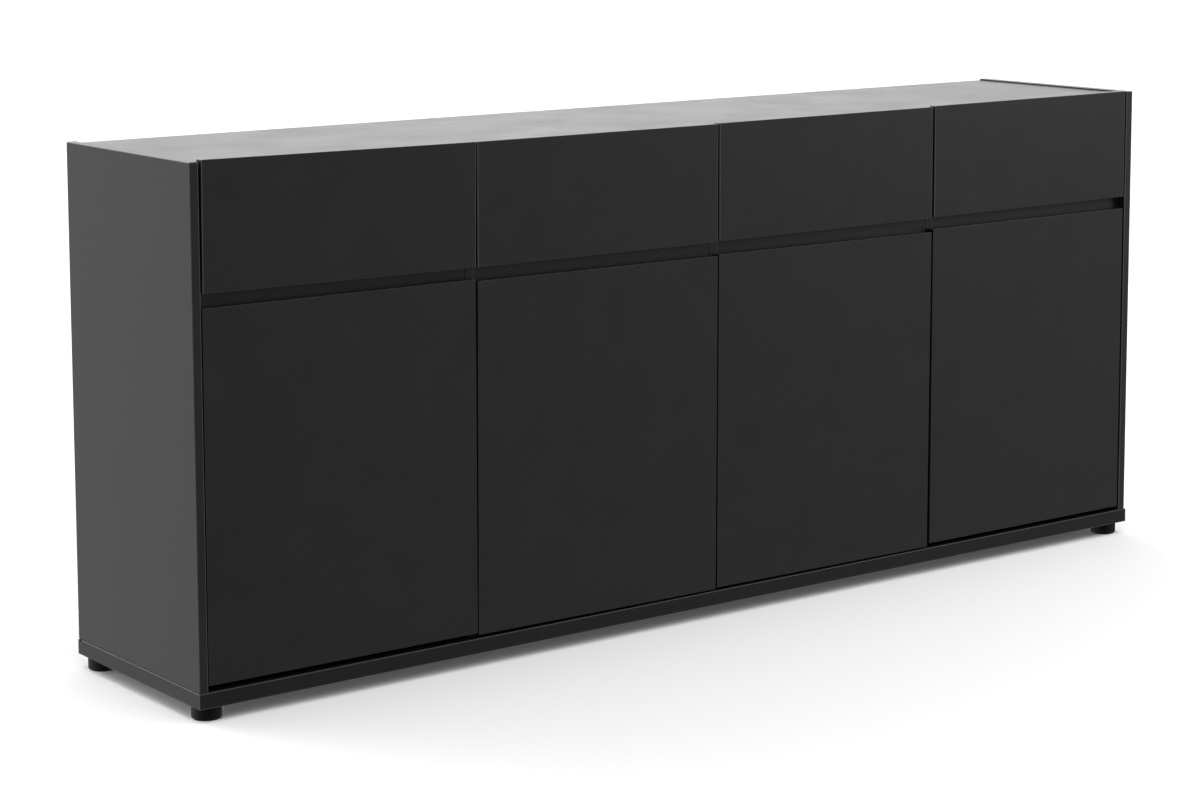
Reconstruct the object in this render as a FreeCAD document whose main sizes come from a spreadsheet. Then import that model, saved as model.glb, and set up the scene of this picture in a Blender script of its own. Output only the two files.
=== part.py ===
"""Handle-less sideboard: four drawers in a row over four doors, on a base board with round feet.

Frame: millimetres, +Z up, the front faces -Y and +X is to the right of a person facing the front.
The origin lies on the floor, below the centre of the bounding box. The driving sizes are in the
spreadsheet. Heights named "level" count from the top of the base board.
"""
import FreeCAD
import Part
import Sketcher
import os

DRIVING_SIZES = {
    # carcass
    "carcass_width": 2060,
    "side_height": 820,
    "side_depth": 400,
    "board": 16,
    "top_recess": 3,
    "partition_setback": 17,
    "rail_setback": 18,
    "rail_height": 70,
    "rail_level": 569,
    # base board and feet
    "base_thickness": 25,
    "base_lip_front": 3,
    "base_lip_side": 1.5,
    "foot_height": 23,
    "foot_diameter": 50,
    "foot_edge_radius": 2.5,
    "foot_collar_height": 3,
    "foot_collar_diameter": 44,
    "foot_inset": 29,
    "middle_foot_inset": 110,
    # back panels, let into a groove
    "back_thickness": 4,
    "back_inset": 8,
    "groove_depth": 5,
    # shelves and their pins
    "shelf_level": 300,
    "shelf_setback": 46,
    "shelf_depth": 336,
    "shelf_play": 1,
    "pin_diameter": 5,
    "pin_hole_diameter": 5.2,
    "pin_hole_depth": 9,
    "pin_inset": 7.5,
    "pin_reach": 9,
    "pin_row_front": 90,
    "pin_row_back": 346,
    "pin_pitch": 64,
    # cam fittings that hold the boards together
    "cam_diameter": 15,
    "cam_hole_diameter": 15.2,
    "cam_depth": 12.5,
    "cam_edge_distance": 34,
    "cam_row_front": 60,
    "cam_row_back": 340,
    # fronts
    "front_thickness": 16,
    "front_width": 502,
    "front_gap": 4,
    "drawer_front_height": 204,
    "drawer_front_level": 717.5,
    "door_height": 586,
    "door_level": 300,
    # drawer boxes
    "drawer_board": 12,
    "drawer_length": 350,
    "drawer_height": 140,
    "drawer_level": 645,
    "drawer_bottom_thickness": 4,
    "drawer_bottom_rise": 10,
    "drawer_groove": 4,
    # single-extension ball-bearing slides
    "slide_space": 13,
    "slide_length": 350,
    "slide_front": 19,
    "slide_level": 705,
    "slide_metal": 1.2,
    "outer_member_height": 35,
    "outer_member_depth": 9,
    "inner_member_height": 24,
    "inner_member_depth": 9,
    "cage_length": 96,
    "cage_front": 148,
    "cage_metal": 1,
    "cage_gap": 0.4,
    "cage_height": 29.3,
    "cage_depth": 6.4,
    "ball_diameter": 3.6,
    "ball_pitch": 24,
    "ball_setback": 1.5,
    # concealed hinges
    "cup_diameter": 35,
    "cup_hole_diameter": 35.2,
    "cup_wall": 1.5,
    "cup_floor": 0.5,
    "cup_depth": 12,
    "cup_edge_distance": 5,
    "cup_spread": 450,
    "cup_plate_width": 29,
    "cup_plate_height": 48,
    "cup_plate_thickness": 1,
    "arm_width": 10,
    "arm_length": 75,
    "arm_thickness": 5,
    "plate_height": 44,
    "plate_front": 32,
    "plate_thickness": 1,
    # The hinge arm's outline, from the door's front hinge edge: its tip in the cup, the corners
    # of its bends, and the end of the tip away from the edge.
    "arm_tip_x": 15.5,
    "arm_tip_y": 10,
    "arm_nose_x": 9.5,
    "arm_nose_y": 16.5,
    "arm_foot_y": 19.5,
    "arm_shoulder_y": 25,
    "arm_neck_x": 14,
    "arm_neck_y": 20.5,
    "arm_end_x": 19.5,
    "arm_end_y": 12.5,
}

# How each front hangs on its adjusting screws: sideways shift, lift, and clockwise tilt in degrees.
FRONT_SETTINGS = {
    "drawer_1": (0.5, 1.0, 0.5),
    "drawer_2": (-0.4, -1.7, 0.1),
    "drawer_3": (-0.9, -1.0, 0.0),
    "drawer_4": (0.5, 0.9, -0.1),
    "door_1": (-2.0, 2.2, 0.1),
    "door_2": (-2.4, -2.9, 0.3),
    "door_3": (-3.0, -3.2, 0.25),
    "door_4": (-1.3, 1.0, 0.0),
}

BAYS = (1, 2, 3, 4)
LEFT, RIGHT = -1, 1
Y_AXIS = FreeCAD.Vector(0, 1, 0)
BALLS_PER_ROW = 4
# Doors 1 and 4 hang on the side panels, doors 2 and 3 on the centre partition.
HINGE_SIDE = {1: LEFT, 2: RIGHT, 3: LEFT, 4: RIGHT}

document = FreeCAD.newDocument("sideboard")
sheet = document.addObject("Spreadsheet::Sheet", "sheet")
subparts = []


def fill_sheet():
    values = dict(DRIVING_SIZES)
    for front, (shift, lift, tilt) in FRONT_SETTINGS.items():
        values[front + "_shift"] = shift
        values[front + "_lift"] = lift
        values[front + "_tilt"] = tilt
    for row, (alias, value) in enumerate(values.items(), start=1):
        sheet.set(f"A{row}", alias)
        sheet.set(f"B{row}", str(value))
        sheet.setAlias(f"B{row}", alias)
    document.recompute()


def expand(text):
    """Write a size formula's sheet names in full: board / 2 becomes (sheet.board / 2)."""
    words = text.split(" ")
    full = ["sheet." + word if word[0].isalpha() else word for word in words]
    return "(" + " ".join(full) + ")"


# Places that many pieces share, as formulas of the sheet's sizes.
FRONT_Y = expand("base_lip_front / 2 - side_depth / 2")
BACK_Y = expand("base_lip_front / 2 + side_depth / 2")
BASE_TOP = expand("foot_height + base_thickness")
SIDE_INNER_X = expand("carcass_width / 2 - board")
CLEAR_HEIGHT = expand("side_height - top_recess - board")
BAY_WIDTH = expand("carcass_width / 4 - board * 5 / 4")
BACK_PANEL_SETBACK = expand("side_depth - back_inset - back_thickness")


def bay_left(bay):
    """X of the inner face at the left of a bay."""
    return f"(-{SIDE_INNER_X} + {bay - 1} * ({BAY_WIDTH} + sheet.board))"


def bay_right(bay):
    return f"({bay_left(bay)} + {BAY_WIDTH})"


def front_centre_x(name, bay):
    """X of a front's centre: four equal fronts between the side panels, plus its own shift."""
    step = expand("front_width + front_gap")
    return f"({bay - 2.5} * {step} + sheet.{name}_shift)"


def number(formula):
    return float(sheet.evalExpression(formula))


def place(piece, x, y, z, axis=None, angle="0"):
    """Put a piece at x, y, z, turned about an axis by an angle in degrees; all four are formulas."""
    if axis is not None:
        piece.Placement = FreeCAD.Placement(FreeCAD.Vector(), FreeCAD.Rotation(axis, 1))
        piece.setExpression("Placement.Rotation.Angle", f"{angle} * 1 deg")
    piece.setExpression("Placement.Base.x", x)
    piece.setExpression("Placement.Base.y", y)
    piece.setExpression("Placement.Base.z", z)


def keep(piece, label):
    """Name a finished sub-part and add it to those written out."""
    piece.Label = label
    subparts.append(piece)
    return piece


def box(length, depth, height):
    piece = document.addObject("Part::Box", "box")
    piece.setExpression("Length", length)
    piece.setExpression("Width", depth)
    piece.setExpression("Height", height)
    return piece


def group(label, pieces):
    """Several loose pieces as one sub-part of separate solids."""
    compound = document.addObject("Part::Compound", label)
    compound.Links = pieces
    return keep(compound, label)


def sketch_on(body, plane, offset="0"):
    """A sketch on one of the body's origin planes, moved along the plane's normal."""
    sketch = body.newObject("Sketcher::SketchObject", "sketch")
    support = next(item for item in body.Origin.OriginFeatures if item.Role == plane)
    sketch.AttachmentSupport = (support, [""])
    sketch.MapMode = "FlatFace"
    sketch.setExpression("AttachmentOffset.Base.z", offset)
    return sketch


def pin_point(sketch, geometry, point, x, y):
    """Hold one point of a sketch at x, y from the sketch's origin; both are formulas."""
    for kind, formula in (("DistanceX", x), ("DistanceY", y)):
        index = sketch.addConstraint(
            Sketcher.Constraint(kind, -1, 1, geometry, point, number(formula))
        )
        sketch.setExpression(f"Constraints[{index}]", formula)


def draw_outline(sketch, corners):
    """A closed outline of straight lines through corners given as pairs of formulas."""
    spots = [FreeCAD.Vector(number(x), number(y), 0) for x, y in corners]
    first = sketch.GeometryCount
    for index, spot in enumerate(spots):
        following = spots[(index + 1) % len(spots)]
        sketch.addGeometry(Part.LineSegment(spot, following), False)
    for index, (x, y) in enumerate(corners):
        before = first + (index - 1) % len(corners)
        sketch.addConstraint(Sketcher.Constraint("Coincident", before, 2, first + index, 1))
        pin_point(sketch, first + index, 1, x, y)


def draw_circles(sketch, centres, diameter):
    for x, y in centres:
        spot = FreeCAD.Vector(number(x), number(y), 0)
        circle = Part.Circle(spot, FreeCAD.Vector(0, 0, 1), number(diameter) / 2)
        geometry = sketch.addGeometry(circle, False)
        pin_point(sketch, geometry, 3, x, y)
        index = sketch.addConstraint(
            Sketcher.Constraint("Diameter", geometry, number(diameter))
        )
        sketch.setExpression(f"Constraints[{index}]", diameter)


def pad(body, sketch, length, midplane=False, backwards=False):
    feature = body.newObject("PartDesign::Pad", "pad")
    feature.Profile = sketch
    feature.setExpression("Length", length)
    feature.SideType = "Symmetric" if midplane else "One side"
    feature.Reversed = backwards
    return feature


def extrusion(plane, corners, length, midplane=False, backwards=False):
    """A body made by padding one outline."""
    body = document.addObject("PartDesign::Body", "body")
    sketch = sketch_on(body, plane)
    draw_outline(sketch, corners)
    pad(body, sketch, length, midplane, backwards)
    return body


def drill(body, plane, offset, centres, diameter, depth, backwards=False):
    """Round pockets from a plane into the body."""
    sketch = sketch_on(body, plane, offset)
    draw_circles(sketch, centres, diameter)
    document.recompute()
    volume = body.Shape.Volume
    pocket = body.newObject("PartDesign::Pocket", "pocket")
    pocket.Profile = sketch
    pocket.setExpression("Length", depth)
    pocket.Reversed = backwards
    document.recompute()
    if body.Shape.Volume > volume - 1:
        raise RuntimeError("a pocket cut nothing")


def rectangle(left, bottom, right, top):
    return [(left, bottom), (right, bottom), (right, top), (left, top)]


def shelf_pin_heights():
    """Levels of the three pin holes in each row; the shelf rests on the middle one."""
    middle = expand("shelf_level - pin_diameter / 2")
    return [f"({middle} + {step} * sheet.pin_pitch)" for step in (-1, 0, 1)]


def drill_pin_holes(body, plane_offset, setback, depth, backwards):
    """Two rows of holes for shelf pins in an upright board whose front edge is set back."""
    centres = []
    for row in ("pin_row_front", "pin_row_back"):
        for height in shelf_pin_heights():
            centres.append((f"(sheet.{row} - {setback})", height))
    hole = expand("pin_hole_diameter")
    drill(body, "YZ_Plane", plane_offset, centres, hole, depth, backwards)


def cam_centres(setback, heights):
    """Cam positions in an upright board, as pairs of depth and height."""
    rows = [f"(sheet.{row} - {setback})" for row in ("cam_row_front", "cam_row_back")]
    return [(row, height) for row in rows for height in heights]


CAM_LOW = expand("cam_edge_distance")
CAM_HIGH = f"({CLEAR_HEIGHT} - sheet.cam_edge_distance)"


def make_side_panel(label, side):
    """A side panel: a groove for the back panel, pin holes and cam bores in its inner face."""
    groove_front = BACK_PANEL_SETBACK
    groove_back = expand("side_depth - back_inset")
    inner = expand("board") if side == LEFT else "0"
    outer = "0" if side == LEFT else expand("board")
    floor = expand("board - groove_depth") if side == LEFT else expand("groove_depth")
    corners = [
        (outer, "0"),
        (inner, "0"),
        (inner, groove_front),
        (floor, groove_front),
        (floor, groove_back),
        (inner, groove_back),
        (inner, expand("side_depth")),
        (outer, expand("side_depth")),
    ]
    panel = extrusion("XY_Plane", corners, expand("side_height"))
    backwards = side == RIGHT
    drill_pin_holes(panel, inner, "0", expand("pin_hole_depth"), backwards)
    cams = cam_centres("0", [CAM_LOW])
    hole = expand("cam_hole_diameter")
    drill(panel, "YZ_Plane", inner, cams, hole, expand("cam_depth"), backwards)
    half = expand("carcass_width / 2")
    x = f"-{half}" if side == LEFT else SIDE_INNER_X
    place(panel, x, FRONT_Y, BASE_TOP)
    return keep(panel, label)


def make_partition(label, bay):
    """The upright board at the right of a bay, with pin holes right through it."""
    depth = f"({BACK_PANEL_SETBACK} - sheet.partition_setback)"
    corners = rectangle("0", "0", expand("board"), depth)
    partition = extrusion("XY_Plane", corners, CLEAR_HEIGHT)
    setback = expand("partition_setback")
    drill_pin_holes(partition, expand("board"), setback, expand("board"), False)
    cams = cam_centres(setback, [CAM_LOW, CAM_HIGH])
    hole = expand("cam_hole_diameter")
    drill(partition, "YZ_Plane", "0", cams, hole, expand("cam_depth"), True)
    place(partition, bay_right(bay), f"({FRONT_Y} + {setback})", BASE_TOP)
    return keep(partition, label)


def make_top_panel():
    """The top lies between the side panels, a little lower than their edges and behind the fronts."""
    front = expand("partition_setback")
    back = expand("side_depth")
    groove_front = BACK_PANEL_SETBACK
    groove_back = expand("side_depth - back_inset")
    top = expand("board")
    groove_top = expand("groove_depth")
    corners = [
        (front, "0"),
        (groove_front, "0"),
        (groove_front, groove_top),
        (groove_back, groove_top),
        (groove_back, "0"),
        (back, "0"),
        (back, top),
        (front, top),
    ]
    panel = extrusion("YZ_Plane", corners, expand("carcass_width - 2 * board"))
    ends = (expand("cam_edge_distance"), expand("carcass_width - 2 * board - cam_edge_distance"))
    rows = (expand("cam_row_front"), expand("cam_row_back"))
    cams = [(end, row) for end in ends for row in rows]
    hole = expand("cam_hole_diameter")
    drill(panel, "XY_Plane", "0", cams, hole, expand("cam_depth"), True)
    place(panel, f"-{SIDE_INNER_X}", FRONT_Y, f"({BASE_TOP} + {CLEAR_HEIGHT})")
    return keep(panel, "top_panel")


def make_base_board():
    depth = expand("side_depth + base_lip_front")
    groove_front = f"({BACK_PANEL_SETBACK} + sheet.base_lip_front)"
    groove_back = expand("side_depth - back_inset + base_lip_front")
    top = expand("base_thickness")
    floor = expand("base_thickness - groove_depth")
    corners = [
        ("0", "0"),
        (depth, "0"),
        (depth, top),
        (groove_back, top),
        (groove_back, floor),
        (groove_front, floor),
        (groove_front, top),
        ("0", top),
    ]
    width = expand("carcass_width + 2 * base_lip_side")
    board = extrusion("YZ_Plane", corners, width)
    place(board, f"(-{width} / 2)", f"({FRONT_Y} - sheet.base_lip_front)", expand("foot_height"))
    return keep(board, "base_board")


def make_channel_rail(bay):
    """The upright rail behind the finger channel between a drawer front and a door."""
    rail = box(BAY_WIDTH, expand("board"), expand("rail_height"))
    place(
        rail,
        bay_left(bay),
        f"({FRONT_Y} + sheet.rail_setback)",
        f"({BASE_TOP} + sheet.rail_level)",
    )
    return keep(rail, f"channel_rail_{bay}")


def make_back_panel(label, side):
    """Half of the back: from the groove in a side panel to the middle of the centre partition."""
    width = f"({SIDE_INNER_X} + sheet.groove_depth)"
    panel = box(width, expand("back_thickness"), f"({CLEAR_HEIGHT} + 2 * sheet.groove_depth)")
    x = f"-{width}" if side == LEFT else "0"
    place(panel, x, f"({FRONT_Y} + {BACK_PANEL_SETBACK})", f"({BASE_TOP} - sheet.groove_depth)")
    return keep(panel, label)


def make_shelf(bay):
    width = f"({BAY_WIDTH} - 2 * sheet.shelf_play)"
    shelf = box(width, expand("shelf_depth"), expand("board"))
    place(
        shelf,
        f"({bay_left(bay)} + sheet.shelf_play)",
        f"({FRONT_Y} + sheet.shelf_setback)",
        f"({BASE_TOP} + sheet.shelf_level)",
    )
    return keep(shelf, f"shelf_{bay}")


def make_shelf_pins():
    """Four pins carry each shelf, two at each end."""
    pins = []
    height = f"({BASE_TOP} + {shelf_pin_heights()[1]})"
    for bay in BAYS:
        left = f"({bay_left(bay)} - sheet.pin_inset)"
        right = f"({bay_right(bay)} - sheet.pin_reach)"
        for row in ("pin_row_front", "pin_row_back"):
            for x in (left, right):
                pin = document.addObject("Part::Cylinder", "pin")
                pin.setExpression("Radius", expand("pin_diameter / 2"))
                pin.setExpression("Height", expand("pin_inset + pin_reach"))
                place(pin, x, f"({FRONT_Y} + sheet.{row})", height, Y_AXIS, "90")
                pins.append(pin)
    return group("shelf_pins", pins)


def make_foot():
    """A round plastic foot, turned: a rounded bottom edge and a narrower collar on top."""
    radius = expand("foot_diameter / 2")
    bottom_flat = expand("foot_diameter / 2 - foot_edge_radius")
    collar = expand("foot_collar_diameter / 2")
    shoulder = expand("foot_height - foot_collar_height")
    edge = expand("foot_edge_radius")
    body = document.addObject("PartDesign::Body", "foot")
    sketch = sketch_on(body, "XZ_Plane")
    draw_outline(
        sketch,
        [
            ("0", "0"),
            (bottom_flat, "0"),
            (radius, edge),
            (radius, shoulder),
            (collar, shoulder),
            (collar, expand("foot_height")),
            ("0", expand("foot_height")),
        ],
    )
    turned = body.newObject("PartDesign::Revolution", "turned")
    turned.Profile = sketch
    turned.ReferenceAxis = (sketch, ["V_Axis"])
    turned.Angle = 360
    return body


def make_feet():
    """One foot near each corner, and two below the centre partition where the load is."""
    half = expand("carcass_width / 2 - foot_inset")
    front = f"({FRONT_Y} + sheet.foot_inset)"
    back = f"({BACK_Y} - sheet.foot_inset)"
    corner_feet = []
    for x in (f"-{half}", half):
        for y in (front, back):
            foot = make_foot()
            place(foot, x, y, "0")
            corner_feet.append(foot)
    group("corner_feet", corner_feet)
    middle_feet = []
    for y in (f"({FRONT_Y} + sheet.middle_foot_inset)", f"({BACK_Y} - sheet.middle_foot_inset)"):
        foot = make_foot()
        place(foot, "0", y, "0")
        middle_feet.append(foot)
    group("middle_feet", middle_feet)


def make_cam(x, y, z, axis, angle):
    """A cam housing that fills its bore, flush with the board's face."""
    cam = document.addObject("Part::Cylinder", "cam")
    cam.setExpression("Radius", expand("cam_diameter / 2"))
    cam.setExpression("Height", expand("cam_depth"))
    place(cam, x, y, z, axis, angle)
    return cam


def make_cam_fittings():
    cams = []
    for row in ("cam_row_front", "cam_row_back"):
        y = f"({FRONT_Y} + sheet.{row})"
        low = f"({BASE_TOP} + {CAM_LOW})"
        high = f"({BASE_TOP} + {CAM_HIGH})"
        cams.append(make_cam(f"-{SIDE_INNER_X}", y, low, Y_AXIS, "-90"))
        cams.append(make_cam(SIDE_INNER_X, y, low, Y_AXIS, "90"))
        for bay in BAYS[:-1]:
            for z in (low, high):
                cams.append(make_cam(bay_right(bay), y, z, Y_AXIS, "90"))
        end = f"({SIDE_INNER_X} - sheet.cam_edge_distance)"
        under_top = f"({BASE_TOP} + {CLEAR_HEIGHT})"
        for x in (f"-{end}", end):
            cams.append(make_cam(x, y, under_top, Y_AXIS, "0"))
    return group("cam_fittings", cams)


def make_channel(height, depth, metal, length, towards=1):
    """A folded metal channel along Y: a web on the YZ plane and two flanges, all on one side of X."""
    top = f"({height} / 2)"
    inside = f"({top} - {metal})"
    web = f"({towards} * {metal})"
    tip = f"({towards} * {depth})"
    corners = [
        ("0", f"-{top}"),
        (tip, f"-{top}"),
        (tip, f"-{inside}"),
        (web, f"-{inside}"),
        (web, inside),
        (tip, inside),
        (tip, top),
        ("0", top),
    ]
    return extrusion("XZ_Plane", corners, length, backwards=True)


def slide_place(piece, bay, side, offset, setback):
    """Put a slide's piece at the left or right of a bay, turned over for the right side."""
    z = f"({BASE_TOP} + sheet.slide_level)"
    y = f"({FRONT_Y} + {setback})"
    if side == LEFT:
        place(piece, f"({bay_left(bay)} + {offset})", y, z)
    else:
        place(piece, f"({bay_right(bay)} - {offset})", y, z, Y_AXIS, "180")


def make_cabinet_runners():
    runners = []
    for bay in BAYS:
        for side in (LEFT, RIGHT):
            runner = make_channel(
                expand("outer_member_height"),
                expand("outer_member_depth"),
                expand("slide_metal"),
                expand("slide_length"),
            )
            slide_place(runner, bay, side, "0", expand("slide_front"))
            runners.append(runner)
    return group("cabinet_runners", runners)


def make_drawer_runners(bay):
    runners = []
    for side in (LEFT, RIGHT):
        runner = make_channel(
            expand("inner_member_height"),
            expand("inner_member_depth"),
            expand("slide_metal"),
            expand("slide_length"),
            towards=-1,
        )
        slide_place(runner, bay, side, expand("slide_space"), expand("slide_front"))
        runners.append(runner)
    return group(f"drawer_{bay}_runners", runners)


def make_ball_cages(bay):
    """The two cages of a drawer's slides: a folded strip that holds steel balls above and below."""
    cages = []
    for side in (LEFT, RIGHT):
        cage = make_channel(
            expand("cage_height"),
            expand("cage_depth"),
            expand("cage_metal"),
            expand("cage_length"),
        )
        for row in (-1, 1):
            for step in range(BALLS_PER_ROW):
                ball = cage.newObject("PartDesign::AdditiveSphere", "ball")
                ball.setExpression("Radius", expand("ball_diameter / 2"))
                place(
                    ball,
                    expand("cage_depth - ball_setback"),
                    expand(f"( {step} + 0.5 ) * ball_pitch"),
                    expand(f"{row} / 2 * ( cage_height - cage_metal )"),
                )
        offset = expand("slide_metal + cage_gap")
        slide_place(cage, bay, side, offset, expand("cage_front"))
        cages.append(cage)
    return group(f"drawer_{bay}_ball_cages", cages)


def make_front(name, bay, height, level):
    """A drawer front or door as a slab about its own centre, hung with its own settings."""
    half_width = expand("front_width / 2")
    half_height = f"({height} / 2)"
    corners = rectangle(f"-{half_width}", f"-{half_height}", half_width, half_height)
    front = extrusion("XZ_Plane", corners, expand("front_thickness"), backwards=True)
    place(
        front,
        front_centre_x(name, bay),
        FRONT_Y,
        f"({BASE_TOP} + {level} + sheet.{name}_lift)",
        Y_AXIS,
        f"sheet.{name}_tilt",
    )
    return front


def make_drawer(bay):
    """The front and a box of two sides, a back and a bottom that lies in the sides' grooves."""
    front = make_front(
        f"drawer_{bay}", bay, expand("drawer_front_height"), expand("drawer_front_level")
    )
    keep(front, f"drawer_{bay}_front")
    y = f"({FRONT_Y} + sheet.front_thickness)"
    z = f"({BASE_TOP} + sheet.drawer_level)"
    outer_left = f"({bay_left(bay)} + sheet.slide_space)"
    outer_right = f"({bay_right(bay)} - sheet.slide_space)"
    groove_low = expand("drawer_bottom_rise")
    groove_high = expand("drawer_bottom_rise + drawer_bottom_thickness")
    for side, label in ((LEFT, "left"), (RIGHT, "right")):
        sign = "" if side == LEFT else "-"
        inner = sign + expand("drawer_board")
        floor = sign + expand("drawer_board - drawer_groove")
        corners = [
            ("0", "0"),
            (inner, "0"),
            (inner, groove_low),
            (floor, groove_low),
            (floor, groove_high),
            (inner, groove_high),
            (inner, expand("drawer_height")),
            ("0", expand("drawer_height")),
        ]
        wall = extrusion("XZ_Plane", corners, expand("drawer_length"), backwards=True)
        place(wall, outer_left if side == LEFT else outer_right, y, z)
        keep(wall, f"drawer_{bay}_side_{label}")
    clear_width = f"({BAY_WIDTH} - 2 * (sheet.slide_space + sheet.drawer_board))"
    bottom = box(
        f"({clear_width} + 2 * sheet.drawer_groove)",
        expand("drawer_length"),
        expand("drawer_bottom_thickness"),
    )
    bottom_x = f"({outer_left} + sheet.drawer_board - sheet.drawer_groove)"
    place(bottom, bottom_x, y, f"({z} + sheet.drawer_bottom_rise)")
    keep(bottom, f"drawer_{bay}_bottom")
    back_rise = expand("drawer_bottom_rise + drawer_bottom_thickness")
    back = box(clear_width, expand("drawer_board"), f"(sheet.drawer_height - {back_rise})")
    back_y = f"({y} + sheet.drawer_length - sheet.drawer_board)"
    place(back, f"({outer_left} + sheet.drawer_board)", back_y, f"({z} + {back_rise})")
    keep(back, f"drawer_{bay}_back")
    make_drawer_runners(bay)
    make_ball_cages(bay)


def cup_centre_x(side):
    """X of a cup's centre from the door's centre, near the hinge edge."""
    sign = "-" if side == LEFT else ""
    return sign + expand("front_width / 2 - cup_edge_distance - cup_diameter / 2")


def make_door(bay):
    side = HINGE_SIDE[bay]
    name = f"door_{bay}"
    door = make_front(name, bay, expand("door_height"), expand("door_level"))
    spread = expand("cup_spread / 2")
    centres = [(cup_centre_x(side), height) for height in (f"-{spread}", spread)]
    hole = expand("cup_hole_diameter")
    depth = expand("cup_depth")
    back_face = f"-{expand('front_thickness')}"
    drill(door, "XZ_Plane", back_face, centres, hole, depth, True)
    keep(door, name)


def make_cup():
    """A hinge cup: an open pot, and its screw plate on the hinge-free side of the pot.

    Its origin is the mouth's centre on the door's back face; the pot goes towards -Y and the
    screw plate reaches further along +X than along -X.
    """
    radius = expand("cup_diameter / 2")
    body = document.addObject("PartDesign::Body", "cup")
    pot = sketch_on(body, "XZ_Plane")
    draw_circles(pot, [("0", "0")], f"(2 * {radius})")
    pad(body, pot, expand("cup_depth"))
    reach = expand("cup_diameter / 2 + 1")
    inner_reach = f"({reach} - sheet.cup_plate_width)"
    half = expand("cup_plate_height / 2")
    plate = sketch_on(body, "XZ_Plane")
    draw_outline(plate, rectangle(inner_reach, f"-{half}", reach, half))
    pad(body, plate, expand("cup_plate_thickness"), backwards=True)
    mouth = f"-{expand('cup_plate_thickness')}"
    hollow = expand("cup_plate_thickness + cup_depth - cup_floor")
    bore = expand("cup_diameter - 2 * cup_wall")
    document.recompute()
    drill(body, "XZ_Plane", mouth, [("0", "0")], bore, hollow, True)
    return body


def make_hinge_cups(bay):
    """The two cups of a door, which move with it and share its tilt."""
    side = HINGE_SIDE[bay]
    name = f"door_{bay}"
    cups = []
    for sign in (-1, 1):
        cup = make_cup()
        angle = "0" if side == LEFT else "180"
        place(
            cup,
            cup_centre_x(side),
            expand("front_thickness"),
            f"({sign} * sheet.cup_spread / 2)",
            Y_AXIS,
            angle,
        )
        cups.append(cup)
    pair = document.addObject("Part::Compound", name + "_hinge_cups")
    pair.Links = cups
    place(
        pair,
        front_centre_x(name, bay),
        FRONT_Y,
        f"({BASE_TOP} + sheet.door_level + sheet.{name}_lift)",
        Y_AXIS,
        f"sheet.{name}_tilt",
    )
    return keep(pair, name + "_hinge_cups")


def make_hinge_arm(panel_face):
    """A hinge arm and its mounting plate in one bent piece.

    X counts from the door's hinge edge towards the door's free edge, Y from the door's front
    face into the carcass. The tip lies in the cup, further from the door's front edge than the
    cup's rim ever comes, so the cup turns clear of it. panel_face is the X of the board that
    carries the plate.
    """
    foot = f"({panel_face} + sheet.plate_thickness)"
    spine = f"({foot} + sheet.arm_thickness)"
    length = expand("arm_length")
    corners = [
        (expand("arm_tip_x"), expand("arm_tip_y")),
        (expand("arm_nose_x"), expand("arm_nose_y")),
        (foot, expand("arm_foot_y")),
        (foot, length),
        (spine, length),
        (spine, expand("arm_shoulder_y")),
        (expand("arm_neck_x"), expand("arm_neck_y")),
        (expand("arm_end_x"), expand("arm_end_y")),
    ]
    arm = extrusion("XY_Plane", corners, expand("arm_width"), midplane=True)
    sketch = sketch_on(arm, "XY_Plane")
    plate = rectangle(panel_face, expand("plate_front"), foot, length)
    draw_outline(sketch, plate)
    pad(arm, sketch, expand("plate_height"), midplane=True)
    return arm


def make_hinge_arms():
    """Two arms for each door, fixed to the board beside it."""
    arms = []
    for bay in BAYS:
        side = HINGE_SIDE[bay]
        name = f"door_{bay}"
        half = expand("front_width / 2")
        centre = front_centre_x(name, bay)
        if side == LEFT:
            edge = f"({centre} - {half})"
            panel_face = f"({bay_left(bay)} - {edge})"
        else:
            edge = f"({centre} + {half})"
            panel_face = f"({edge} - {bay_right(bay)})"
        for sign in (-1, 1):
            arm = make_hinge_arm(panel_face)
            level = f"sheet.door_level + sheet.{name}_lift + {sign} * sheet.cup_spread / 2"
            z = f"({BASE_TOP} + {level})"
            angle = "0" if side == LEFT else "180"
            place(arm, edge, FRONT_Y, z, Y_AXIS, angle)
            arms.append(arm)
    return group("hinge_arms", arms)


def make_all():
    fill_sheet()
    make_base_board()
    make_side_panel("side_panel_left", LEFT)
    make_side_panel("side_panel_right", RIGHT)
    make_top_panel()
    for bay, label in ((1, "partition_left"), (2, "partition_centre"), (3, "partition_right")):
        make_partition(label, bay)
    make_back_panel("back_panel_left", LEFT)
    make_back_panel("back_panel_right", RIGHT)
    for bay in BAYS:
        make_channel_rail(bay)
        make_shelf(bay)
    make_shelf_pins()
    make_feet()
    make_cam_fittings()
    make_cabinet_runners()
    make_hinge_arms()
    for bay in BAYS:
        make_drawer(bay)
        make_door(bay)
        make_hinge_cups(bay)
    document.recompute()


def check_and_write():
    for item in document.Objects:
        if "Invalid" in item.State or "Error" in item.State:
            raise RuntimeError(f"{item.Name} ({item.Label}) failed: {item.State}")
    for piece in subparts:
        if piece.Shape.isNull() or not piece.Shape.isValid():
            raise RuntimeError(f"{piece.Label} has no valid shape")
    os.makedirs("parts", exist_ok=True)
    for piece in subparts:
        piece.Shape.exportStep(f"parts/{piece.Label}.step")
        bounds = piece.Shape.BoundBox
        print(
            f"{piece.Label:24s} solids {len(piece.Shape.Solids):2d}"
            f"  x {bounds.XMin:8.1f} {bounds.XMax:8.1f}"
            f"  y {bounds.YMin:7.1f} {bounds.YMax:7.1f}"
            f"  z {bounds.ZMin:6.1f} {bounds.ZMax:6.1f}"
        )
    print(len(subparts), "sub-parts")


make_all()
check_and_write()
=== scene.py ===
"""Looks of the handle-less sideboard: laminate boards, plastic feet, hardware and a pale studio."""
import math

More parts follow.
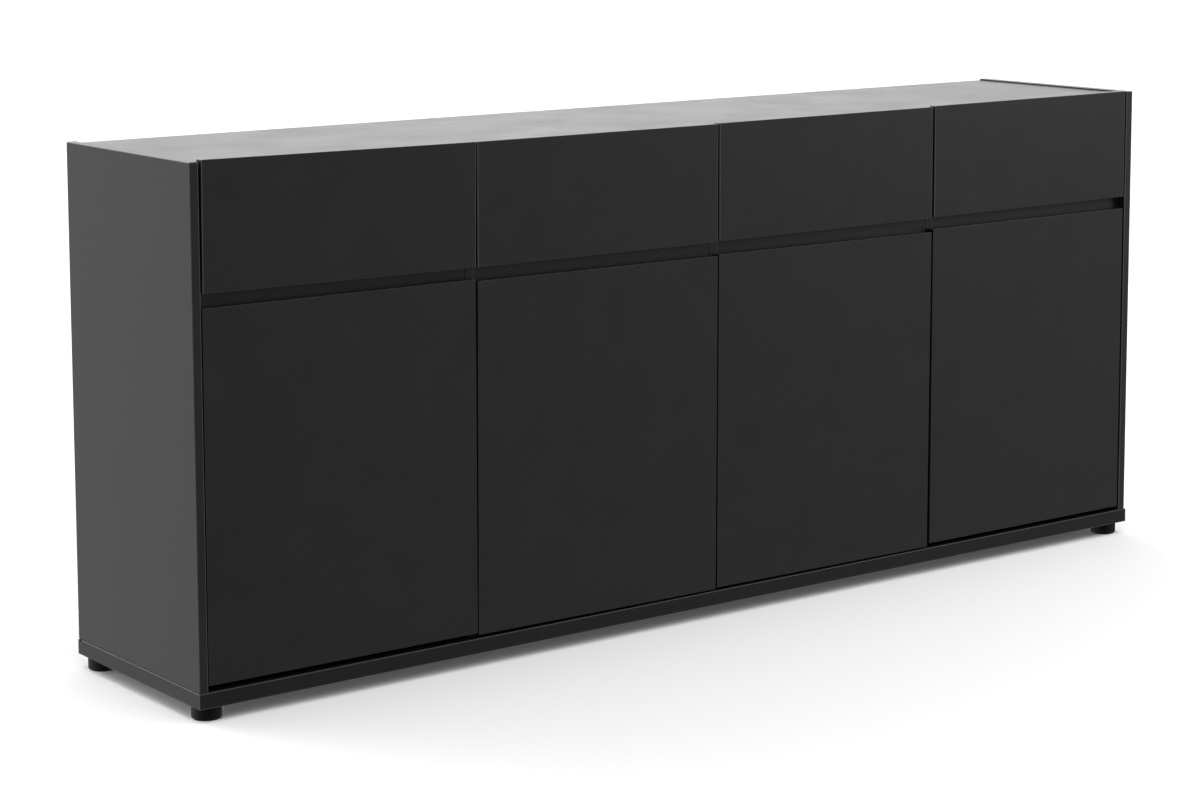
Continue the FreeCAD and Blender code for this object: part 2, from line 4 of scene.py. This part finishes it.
import bmesh
import bpy
from mathutils import Matrix, Vector


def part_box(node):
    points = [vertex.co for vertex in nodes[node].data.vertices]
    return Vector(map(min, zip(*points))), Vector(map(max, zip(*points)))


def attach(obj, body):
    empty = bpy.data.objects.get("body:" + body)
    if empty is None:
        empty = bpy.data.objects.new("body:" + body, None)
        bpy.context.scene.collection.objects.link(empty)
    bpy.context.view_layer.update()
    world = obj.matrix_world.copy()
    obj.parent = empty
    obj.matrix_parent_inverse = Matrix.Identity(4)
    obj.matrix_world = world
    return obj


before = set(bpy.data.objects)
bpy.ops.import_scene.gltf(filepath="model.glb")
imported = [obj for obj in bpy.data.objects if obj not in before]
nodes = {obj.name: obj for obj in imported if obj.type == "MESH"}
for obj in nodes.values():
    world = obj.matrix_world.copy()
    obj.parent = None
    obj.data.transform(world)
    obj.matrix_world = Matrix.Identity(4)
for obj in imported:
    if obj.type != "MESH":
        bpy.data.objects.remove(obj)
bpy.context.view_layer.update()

BAYS = (1, 2, 3, 4)
MM = 0.001

# How wide the rounded edges of the parts are, and from which angle on an edge is rounded.
FRONT_EDGE_ROUND = 1.2 * MM
BOARD_EDGE_ROUND = 1.4 * MM
BASE_EDGE_ROUND = 0.9 * MM
METAL_EDGE_ROUND = 0.15 * MM
SHARP_ANGLE = math.radians(40)
EDGE_SEGMENTS = 3
WELD_DISTANCE = 0.01 * MM


# ---------------------------------------------------------------------------------------------
# Camera and studio
# ---------------------------------------------------------------------------------------------
CAMERA_PLACE = Vector((-3.1404, -4.0012, 1.3323))
CAMERA_AZIMUTH = -37.17
CAMERA_ELEVATION = 7.17
CAMERA_ROLL = -0.13
CAMERA_LENS = 86.73
CAMERA_SHIFT_Y = -0.156

# The studio's soft lights, each a broad glow in the surroundings:
# azimuth and elevation in degrees (0 is the front, 90 the right), sharpness, strength.
SOFT_LIGHTS = {
    "back_wall_right": (135, -12, 8, 3.6),
    "back_wall_middle": (160, 15, 8, 1.35),
    "back_wall_left": (222, -18, 8, 1.5),
    "left_wall": (205, 15, 8, 0.25),
    "left_front_window": (270, 5, 8, 1.7),
    "left_window": (248, 15, 8, 0.4),
    "high_rear_window": (197, 32, 12, 4.0),
    "ceiling": (0, 80, 8, 3.0),
    "front_softbox": (0, 45, 8, 0.8),
    "front_floor": (30, -50, 6, 0.5),
    "front_room": (45, 6, 9, 1.05),
}

# One softbox stands near the right end, in front of it: place, aim, width and height, power.
RIGHT_SOFTBOX = ((2.0, -1.5, 1.5), (0.8, -0.2, 0.75), (0.9, 0.9), 12)

FLOOR_HALF_SIZE = 40
FLOOR_TONE = 0.96
# The floor's faint glow is painted light that lifts the shadows on it.
FLOOR_PAINTED_GLOW = 0.05


def direction(azimuth, elevation):
    """Unit vector from the object towards a view or light at these angles in degrees."""
    turn, rise = math.radians(azimuth), math.radians(elevation)
    flat = math.cos(rise)
    return Vector((math.sin(turn) * flat, -math.cos(turn) * flat, math.sin(rise)))


def make_camera():
    """The photograph's viewpoint, with a little lens shift to frame the object."""
    data = bpy.data.cameras.new("camera")
    data.lens = CAMERA_LENS
    data.sensor_width = 36
    data.shift_y = CAMERA_SHIFT_Y
    camera = bpy.data.objects.new("camera", data)
    bpy.context.scene.collection.objects.link(camera)
    turn = direction(CAMERA_AZIMUTH, CAMERA_ELEVATION).to_track_quat("Z", "Y")
    roll = Matrix.Rotation(math.radians(CAMERA_ROLL), 4, "Z")
    camera.matrix_world = Matrix.Translation(CAMERA_PLACE) @ turn.to_matrix().to_4x4() @ roll
    bpy.context.scene.camera = camera


def new_node(tree, kind, inputs=(), **settings):
    """A shader node with settings made and inputs filled with numbers or linked to sockets."""
    node = tree.nodes.new(kind)
    for name, value in settings.items():
        setattr(node, name, value)
    for name, value in dict(inputs).items():
        if isinstance(value, bpy.types.NodeSocket):
            tree.links.new(value, node.inputs[name])
        else:
            node.inputs[name].default_value = value
    return node


def math_node(tree, operation, first, second):
    """The result of one operation on two numbers or sockets."""
    return new_node(tree, "ShaderNodeMath", {0: first, 1: second}, operation=operation).outputs[0]


def weighted_sum(tree, *parts):
    """The sum of several (value, weight) pairs."""
    total = None
    for value, weight in parts:
        term = math_node(tree, "MULTIPLY", value, weight)
        total = term if total is None else math_node(tree, "ADD", total, term)
    return total


def make_world():
    """Soft glows around the object, behind a plain white backdrop."""
    world = bpy.data.worlds.new("studio")
    bpy.context.scene.world = world
    world.use_nodes = True
    tree = world.node_tree
    tree.nodes.clear()
    around = new_node(tree, "ShaderNodeTexCoord").outputs["Generated"]
    total = 0.0
    for azimuth, elevation, sharpness, strength in SOFT_LIGHTS.values():
        aim = new_node(
            tree,
            "ShaderNodeVectorMath",
            {0: around, 1: direction(azimuth, elevation)},
            operation="DOT_PRODUCT",
        )
        facing = math_node(tree, "MAXIMUM", aim.outputs["Value"], 0.0)
        glow = math_node(tree, "POWER", facing, sharpness)
        total = math_node(tree, "ADD", math_node(tree, "MULTIPLY", glow, strength), total)
    white = (1, 1, 1, 1)
    lights = new_node(tree, "ShaderNodeBackground", {"Color": white, "Strength": total})
    backdrop = new_node(tree, "ShaderNodeBackground", {"Color": white, "Strength": 1.0})
    seen = new_node(tree, "ShaderNodeLightPath").outputs["Is Camera Ray"]
    mixed = {0: seen, 1: lights.outputs[0], 2: backdrop.outputs[0]}
    shown = new_node(tree, "ShaderNodeMixShader", mixed)
    new_node(tree, "ShaderNodeOutputWorld", {"Surface": shown.outputs[0]})


def make_softbox(name, place, target, size, power):
    """An area light at a place, aimed at a target, that the camera doesn't see."""
    data = bpy.data.lights.new(name, "AREA")
    data.shape = "RECTANGLE"
    data.size, data.size_y = size
    data.energy = power
    light = bpy.data.objects.new(name, data)
    light.location = place
    light.rotation_euler = (Vector(place) - Vector(target)).to_track_quat("Z", "Y").to_euler()
    light.visible_camera = False
    bpy.context.scene.collection.objects.link(light)


def make_floor():
    """A plain pale floor that neither lights the object nor shows in its reflections, and glows
    faintly: painted light that lifts its shadows.
    """
    mesh = bpy.data.meshes.new("floor")
    half = FLOOR_HALF_SIZE
    corners = [(-half, -half, 0), (half, -half, 0), (half, half, 0), (-half, half, 0)]
    mesh.from_pydata(corners, [], [(0, 1, 2, 3)])
    floor = bpy.data.objects.new("floor", mesh)
    bpy.context.scene.collection.objects.link(floor)
    floor.visible_glossy = False
    floor.visible_diffuse = False
    material, tree, shader = new_material("studio_floor")
    shader.inputs["Base Color"].default_value = (*grey(FLOOR_TONE), 1)
    shader.inputs["Roughness"].default_value = 1
    shader.inputs["Specular IOR Level"].default_value = 0
    shader.inputs["Emission Color"].default_value = (1, 1, 1, 1)
    shader.inputs["Emission Strength"].default_value = FLOOR_PAINTED_GLOW
    mesh.materials.append(material)


# ---------------------------------------------------------------------------------------------
# Materials
# ---------------------------------------------------------------------------------------------
def new_material(name):
    """A new material, its node tree and its shader."""
    material = bpy.data.materials.new(name)
    material.use_nodes = True
    tree = material.node_tree
    return material, tree, tree.nodes["Principled BSDF"]


def noise(tree, place, scale, detail=3.0, stretch=(1, 1, 1)):
    """Noise over the object's own space, in cells per metre, stretched along an axis if asked."""
    if stretch != (1, 1, 1):
        place = new_node(tree, "ShaderNodeMapping", {"Vector": place, "Scale": stretch}).outputs[0]
    cells = {"Vector": place, "Scale": scale, "Detail": detail}
    return new_node(tree, "ShaderNodeTexNoise", cells).outputs["Fac"]


def spread(tree, value, low, high, start=0.3, end=0.7):
    """Map a noise value to a range."""
    limits = {"Value": value, "From Min": start, "From Max": end, "To Min": low, "To Max": high}
    return new_node(tree, "ShaderNodeMapRange", limits).outputs["Result"]


def blend(tree, factor, first, second):
    """A colour between two others."""
    colours = {"Factor": factor, "A": (*first, 1), "B": (*second, 1)}
    return new_node(tree, "ShaderNodeMix", colours, data_type="RGBA").outputs["Result"]


def grey(tone):
    return (tone, tone, tone)


def bump(tree, shader, height, strength, distance):
    """Relief on a shader from a height value."""
    sizes = {"Height": height, "Strength": strength, "Distance": distance}
    tree.links.new(new_node(tree, "ShaderNodeBump", sizes).outputs[0], shader.inputs["Normal"])


# How far the laminate's roughness strays from its mean, by cloud and by grain.
ROUGHNESS_SPREAD = 0.02


def laminate_material(name, tone, contrast, roughness, specular=0.25):
    """Matt melamine laminate: a fine pearl grain, small flecks and faint cloudy mottling."""
    material, tree, shader = new_material(name)
    place = new_node(tree, "ShaderNodeTexCoord").outputs["Object"]
    cloud = noise(tree, place, 11, 6.0)
    fleck = noise(tree, place, 160, 3.0)
    pearl = noise(tree, place, 1100, 2.0)
    clouds, flecks, pearls = (spread(tree, value, 0, 1) for value in (cloud, fleck, pearl))
    mixed = weighted_sum(tree, (clouds, 0.55), (flecks, 0.25), (pearls, 0.2))
    colour = blend(tree, mixed, grey(tone * (1 - contrast)), grey(tone * (1 + contrast)))
    tree.links.new(colour, shader.inputs["Base Color"])
    cloudy = spread(tree, cloud, -ROUGHNESS_SPREAD, ROUGHNESS_SPREAD)
    grainy = spread(tree, pearl, roughness - ROUGHNESS_SPREAD, roughness + ROUGHNESS_SPREAD)
    tree.links.new(math_node(tree, "ADD", cloudy, grainy), shader.inputs["Roughness"])
    shader.inputs["Specular IOR Level"].default_value = specular
    bump(tree, shader, pearl, 0.05, 0.1 * MM)
    return material


def hardboard_material():
    """Lacquered hardboard: short fibres and the faint screen pattern of its rear face."""
    material, tree, shader = new_material("hardboard")
    place = new_node(tree, "ShaderNodeTexCoord").outputs["Object"]
    fibre = noise(tree, place, 320, 6.0, (1, 1, 0.35))
    cloud = noise(tree, place, 6, 3.0)
    mixed = weighted_sum(tree, (fibre, 0.6), (cloud, 0.4))
    colour = blend(tree, spread(tree, mixed, 0, 1, 0.35, 0.65), grey(0.026), grey(0.04))
    tree.links.new(colour, shader.inputs["Base Color"])
    tree.links.new(spread(tree, fibre, 0.5, 0.7), shader.inputs["Roughness"])
    screen = new_node(
        tree, "ShaderNodeTexVoronoi", {"Vector": place, "Scale": 620, "Randomness": 0.25}
    ).outputs["Distance"]
    relief = math_node(tree, "ADD", screen, fibre)
    shader.inputs["Specular IOR Level"].default_value = 0.3
    bump(tree, shader, relief, 0.25, 0.15 * MM)
    return material


def drawer_material():
    """Grey foil with a fine linen emboss, threads both ways."""
    material, tree, shader = new_material("drawer_board")
    place = new_node(tree, "ShaderNodeTexCoord").outputs["Object"]
    warp = noise(tree, place, 900, 1.0, (1, 1, 0.06))
    weft = noise(tree, place, 900, 1.0, (0.06, 0.06, 1))
    threads = math_node(tree, "MAXIMUM", warp, weft)
    cloud = noise(tree, place, 20, 3.0)
    mixed = weighted_sum(tree, (threads, 0.7), (cloud, 0.3))
    colour = blend(tree, spread(tree, mixed, 0, 1, 0.4, 0.7), grey(0.135), grey(0.17))
    tree.links.new(colour, shader.inputs["Base Color"])
    tree.links.new(spread(tree, threads, 0.5, 0.62), shader.inputs["Roughness"])
    bump(tree, shader, threads, 0.2, 0.1 * MM)
    return material


def plastic_material():
    """Matt black moulded plastic with the fine eroded texture of its mould."""
    material, tree, shader = new_material("foot_plastic")
    place = new_node(tree, "ShaderNodeTexCoord").outputs["Object"]
    eroded = noise(tree, place, 1400, 2.0)
    flow = noise(tree, place, 60, 3.0)
    colour = blend(tree, spread(tree, flow, 0, 1), grey(0.008), grey(0.012))
    tree.links.new(colour, shader.inputs["Base Color"])
    tree.links.new(spread(tree, eroded, 0.45, 0.55), shader.inputs["Roughness"])
    shader.inputs["Specular IOR Level"].default_value = 0.12
    bump(tree, shader, eroded, 0.15, 0.05 * MM)
    return material


def metal_material(name, dark, light, smooth, rough, stretch):
    """Plated metal: drawn lines along its length and cloudy plating."""
    material, tree, shader = new_material(name)
    place = new_node(tree, "ShaderNodeTexCoord").outputs["Object"]
    drawn = noise(tree, place, 1500, 2.0, stretch)
    cloud = noise(tree, place, 90, 3.0)
    mixed = weighted_sum(tree, (drawn, 0.5), (cloud, 0.5))
    colour = blend(tree, spread(tree, mixed, 0, 1, 0.35, 0.65), grey(dark), grey(light))
    tree.links.new(colour, shader.inputs["Base Color"])
    tree.links.new(spread(tree, mixed, smooth, rough, 0.35, 0.65), shader.inputs["Roughness"])
    shader.inputs["Metallic"].default_value = 1
    bump(tree, shader, drawn, 0.1, 0.03 * MM)
    return material


make_camera()
make_world()
make_softbox("right_softbox", *RIGHT_SOFTBOX)
make_floor()
bpy.context.scene.view_settings.view_transform = "Standard"

MATERIALS = {
    "laminate_outside": laminate_material("laminate_outside", 0.016, 0.22, 0.4),
    "laminate_inside": laminate_material("laminate_inside", 0.018, 0.2, 0.43),
    "hardboard": hardboard_material(),
    "drawer_board": drawer_material(),
    "foot_plastic": plastic_material(),
    "plated_steel": metal_material("plated_steel", 0.5, 0.62, 0.28, 0.42, (1, 0.03, 1)),
    "nickel": metal_material("nickel", 0.6, 0.7, 0.18, 0.28, (1, 0.2, 1)),
}
# The base board wears a darker, less glossy copy of the laminate: painted shade for the floor's
# shadow along its foot.
BASE_PAINTED_SHADE_LAMINATE = laminate_material("laminate_base_painted_shade", 0.012, 0.22, 0.4, 0.19)
# The rounded edges of the boards get a lighter laminate than the boards: a painted highlight along
# each edge.
PAINTED_EDGE_HIGHLIGHT = laminate_material("painted_edge_highlight", 0.11, 0.1, 0.32)


# ---------------------------------------------------------------------------------------------
# The CAD parts: their materials and rounded edges
# ---------------------------------------------------------------------------------------------
def edge_round_of(name):
    """How wide a part's edges are rounded."""
    if name.startswith("door_") and name.count("_") == 1 or name.endswith("_front"):
        return FRONT_EDGE_ROUND
    if any(word in name for word in ("runner", "hinge", "cage", "pin", "cam", "feet")):
        return METAL_EDGE_ROUND
    return BASE_EDGE_ROUND if name == "base_board" else BOARD_EDGE_ROUND


def finish_cad_parts():
    """Give each part its material, and rounded edges, with a lighter laminate on the rounded edges
    of laminate boards as a painted highlight.
    """
    for name, node in nodes.items():
        for slot in node.material_slots:
            slot.material = MATERIALS[slot.material.name.split(".")[0]]
        # The base board gets the darker laminate, painted shade from the floor's shadow.
        if name == "base_board":
            node.material_slots[0].material = BASE_PAINTED_SHADE_LAMINATE
        edge_highlighted = any(slot.material.name.startswith("laminate") for slot in node.material_slots)
        if edge_highlighted:
            node.data.materials.append(PAINTED_EDGE_HIGHLIGHT)
        weld = node.modifiers.new("weld", "WELD")
        weld.merge_threshold = WELD_DISTANCE
        edge = node.modifiers.new("edge_round", "BEVEL")
        edge.width = edge_round_of(name)
        edge.segments = EDGE_SEGMENTS
        if edge_highlighted:
            # The faces of the rounding wear the lighter laminate, a painted highlight.
            edge.material = len(node.material_slots) - 1
        edge.limit_method = "ANGLE"
        edge.angle_limit = SHARP_ANGLE
        edge.use_clamp_overlap = not name.startswith("side_panel")


finish_cad_parts()


# ---------------------------------------------------------------------------------------------
# Small hardware
# ---------------------------------------------------------------------------------------------
# Which side of its bay a door's hinges are on, and the board that carries them.
HINGE_SIDE = {1: -1, 2: 1, 3: -1, 4: 1}
HINGE_BOARD = {
    1: "side_panel_left",
    2: "partition_centre",
    3: "partition_centre",
    4: "side_panel_right",
}
CUP_RADIUS = 17.5 * MM
CUP_PLATE_REACH = 18.5 * MM
CUP_PLATE_HALF_HEIGHT = 24 * MM
CUP_SCREW_SPREAD = 21 * MM
HINGE_PLATE_THICKNESS = 1 * MM
HINGE_ARM_THICKNESS = 5 * MM
PLATE_SCREW_SPREAD = 16 * MM
PLATE_FRONT = 32 * MM
PLATE_SCREW_SETBACK = 8 * MM
ARM_SCREW_SETBACKS = (6 * MM, 26 * MM)
CUP_SCREW_OFFSET = 4 * MM
CAM_RADIUS = 7.5 * MM
CAM_FROM_END = 34 * MM
BUMPER_FROM_SIDE = 5 * MM
BUMPER_FROM_END = 22 * MM
NAILS_PER_COLUMN = 8
NAIL_FROM_END = 45 * MM
NAIL_FROM_JOINT = 4 * MM

# Radius and height of each kind of head.
PLATE_SCREW = (3.6 * MM, 1.3 * MM)
ARM_SCREW = (2.8 * MM, 1.0 * MM)
CUP_SCREW = (2.9 * MM, 1.2 * MM)
CAM_FACE = (6.6 * MM, 0.6 * MM)
BUMPER = (3.6 * MM, 0.9 * MM)
NAIL = (2.4 * MM, 0.8 * MM)


def outward(normal, place):
    """A place and turn that put a local Z axis along a face's normal."""
    return Matrix.Translation(place) @ Vector(normal).to_track_quat("Z", "Y").to_matrix().to_4x4()


def ring(bm, matrix, points, height):
    """Vertices for an outline at a height over a face."""
    return [bm.verts.new(matrix @ Vector((x, y, height))) for x, y in points]


def join_rings(bm, lower, upper):
    """Faces between two rings with equally many vertices."""
    count = len(lower)
    for i in range(count):
        following = (i + 1) % count
        bm.faces.new((lower[i], lower[following], upper[following], upper[i]))


def cross_outline(arm, half_width):
    """The outline of a cross recess."""
    quarter = [(arm, -half_width), (arm, half_width), (half_width, half_width)]
    points = []
    for _ in range(4):
        points += quarter
        quarter = [(-y, x) for x, y in quarter]
    return points


def add_screw(bm, matrix, radius, height):
    """A low domed head with a cross recess."""
    cross = cross_outline(0.55 * radius, 0.13 * radius)
    angles = [math.atan2(y, x) for x, y in cross]
    rings = []
    for share, level in ((1.0, 0.0), (1.0, 0.35), (0.9, 0.75), (0.72, 1.0)):
        points = [(share * radius * math.cos(a), share * radius * math.sin(a)) for a in angles]
        rings.append(ring(bm, matrix, points, level * height))
    rings.append(ring(bm, matrix, cross, height))
    narrow = [(0.85 * x, 0.85 * y) for x, y in cross]
    rings.append(ring(bm, matrix, narrow, 0.25 * height))
    for lower, upper in zip(rings, rings[1:]):
        join_rings(bm, lower, upper)
    bm.faces.new(rings[-1])
    bm.faces.new(reversed(rings[0]))


def add_dome(bm, matrix, radius, height, segments=16):
    """A nail head or a bumper: a closed low dome."""
    rings = []
    for step in range(5):
        rise = math.radians(18 * step)
        reach = radius * math.cos(rise)
        turns = [2 * math.pi * i / segments for i in range(segments)]
        points = [(reach * math.cos(a), reach * math.sin(a)) for a in turns]
        rings.append(ring(bm, matrix, points, height * math.sin(rise)))
    for lower, upper in zip(rings, rings[1:]):
        join_rings(bm, lower, upper)
    bm.faces.new(rings[-1])
    bm.faces.new(reversed(rings[0]))


def make_piece(name, bm, body, slot):
    """Turn a mesh into a piece that rides a body and wears a slot's material."""
    mesh = bpy.data.meshes.new(name)
    bmesh.ops.recalc_face_normals(bm, faces=bm.faces)
    bm.to_mesh(mesh)
    bm.free()
    mesh.materials.append(MATERIALS[slot])
    piece = bpy.data.objects.new(name, mesh)
    bpy.context.scene.collection.objects.link(piece)
    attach(piece, body)


def hinge_levels(bay):
    """Heights of a door's two hinges."""
    low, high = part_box(f"door_{bay}_hinge_cups")
    return low.z + CUP_PLATE_HALF_HEIGHT, high.z - CUP_PLATE_HALF_HEIGHT


def board_face(name, side):
    """X of the face of an upright board that looks left (-1) or right (1)."""
    low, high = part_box(name)
    return low.x if side < 0 else high.x


def make_hinge_screws():
    """Mounting plates are held by two screws each, and each arm has two adjusting screws."""
    bm = bmesh.new()
    for bay in BAYS:
        inward = -HINGE_SIDE[bay]
        face = board_face(HINGE_BOARD[bay], inward)
        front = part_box(f"door_{bay}")[0].y
        plate_x = face + inward * HINGE_PLATE_THICKNESS
        arm_x = plate_x + inward * HINGE_ARM_THICKNESS
        for level in hinge_levels(bay):
            for sign in (-1, 1):
                y = front + PLATE_FRONT + PLATE_SCREW_SETBACK
                spot = (plate_x, y, level + sign * PLATE_SCREW_SPREAD)
                add_screw(bm, outward((inward, 0, 0), spot), *PLATE_SCREW)
            for setback in ARM_SCREW_SETBACKS:
                spot = (arm_x, front + PLATE_FRONT + setback, level)
                add_screw(bm, outward((inward, 0, 0), spot), *ARM_SCREW)
    make_piece("hinge_screws", bm, "carcass", "plated_steel")


def make_cup_screws(bay):
    """Two screws hold each hinge cup's plate to the door's back."""
    low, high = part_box(f"door_{bay}_hinge_cups")
    side = HINGE_SIDE[bay]
    first, last = (low.x, high.x) if side < 0 else (high.x, low.x)
    centre = (first - side * CUP_RADIUS + last + side * CUP_PLATE_REACH) / 2
    bm = bmesh.new()
    for level in hinge_levels(bay):
        for sign in (-1, 1):
            spot = (centre - side * CUP_SCREW_OFFSET, high.y, level + sign * CUP_SCREW_SPREAD)
            add_screw(bm, outward((0, 1, 0), spot), *CUP_SCREW)
    make_piece(f"door_{bay}_cup_screws", bm, f"door_{bay}", "nickel")


def make_bumpers(bay):
    """Two soft bumpers in the free corners of a door's back."""
    low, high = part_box(f"door_{bay}")
    side = HINGE_SIDE[bay]
    free_edge = high.x if side < 0 else low.x
    bm = bmesh.new()
    for level in (low.z + BUMPER_FROM_END, high.z - BUMPER_FROM_END):
        spot = (free_edge + side * BUMPER_FROM_SIDE, high.y, level)
        add_dome(bm, outward((0, 1, 0), spot), *BUMPER)
    make_piece(f"door_{bay}_bumpers", bm, f"door_{bay}", "foot_plastic")


def make_cam_faces():
    """The turned faces of the cam fittings, each with the cross for the screwdriver."""
    low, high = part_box("cam_fittings")
    rows = (low.y + CAM_RADIUS, high.y - CAM_RADIUS)
    near_base = low.z + CAM_RADIUS
    under_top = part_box("top_panel")[0].z
    near_top = under_top - CAM_FROM_END
    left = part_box("side_panel_left")[1].x
    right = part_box("side_panel_right")[0].x
    spots = []
    for y in rows:
        spots += [((left, y, near_base), (1, 0, 0)), ((right, y, near_base), (-1, 0, 0))]
        for x in (left + CAM_FROM_END, right - CAM_FROM_END):
            spots.append(((x, y, under_top), (0, 0, -1)))
        for board in ("partition_left", "partition_centre", "partition_right"):
            face = board_face(board, -1)
            spots += [((face, y, near_base), (-1, 0, 0)), ((face, y, near_top), (-1, 0, 0))]
    bm = bmesh.new()
    for spot, normal in spots:
        add_screw(bm, outward(normal, spot), *CAM_FACE)
    make_piece("cam_faces", bm, "carcass", "plated_steel")


def make_back_nails():
    """Nails hold the back panels to the rear edges of the three partitions."""
    low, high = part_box("back_panel_left")
    bm = bmesh.new()
    columns = [high.x - NAIL_FROM_JOINT, high.x + NAIL_FROM_JOINT]
    for board in ("partition_left", "partition_right"):
        columns.append(sum(corner.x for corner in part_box(board)) / 2)
    first = low.z + NAIL_FROM_END
    step = (high.z - NAIL_FROM_END - first) / (NAILS_PER_COLUMN - 1)
    for x in columns:
        for i in range(NAILS_PER_COLUMN):
            add_dome(bm, outward((0, 1, 0), (x, high.y, first + i * step)), *NAIL)
    make_piece("back_nails", bm, "carcass", "plated_steel")


make_hinge_screws()
make_cam_faces()
make_back_nails()
for bay in BAYS:
    make_cup_screws(bay)
    make_bumpers(bay)
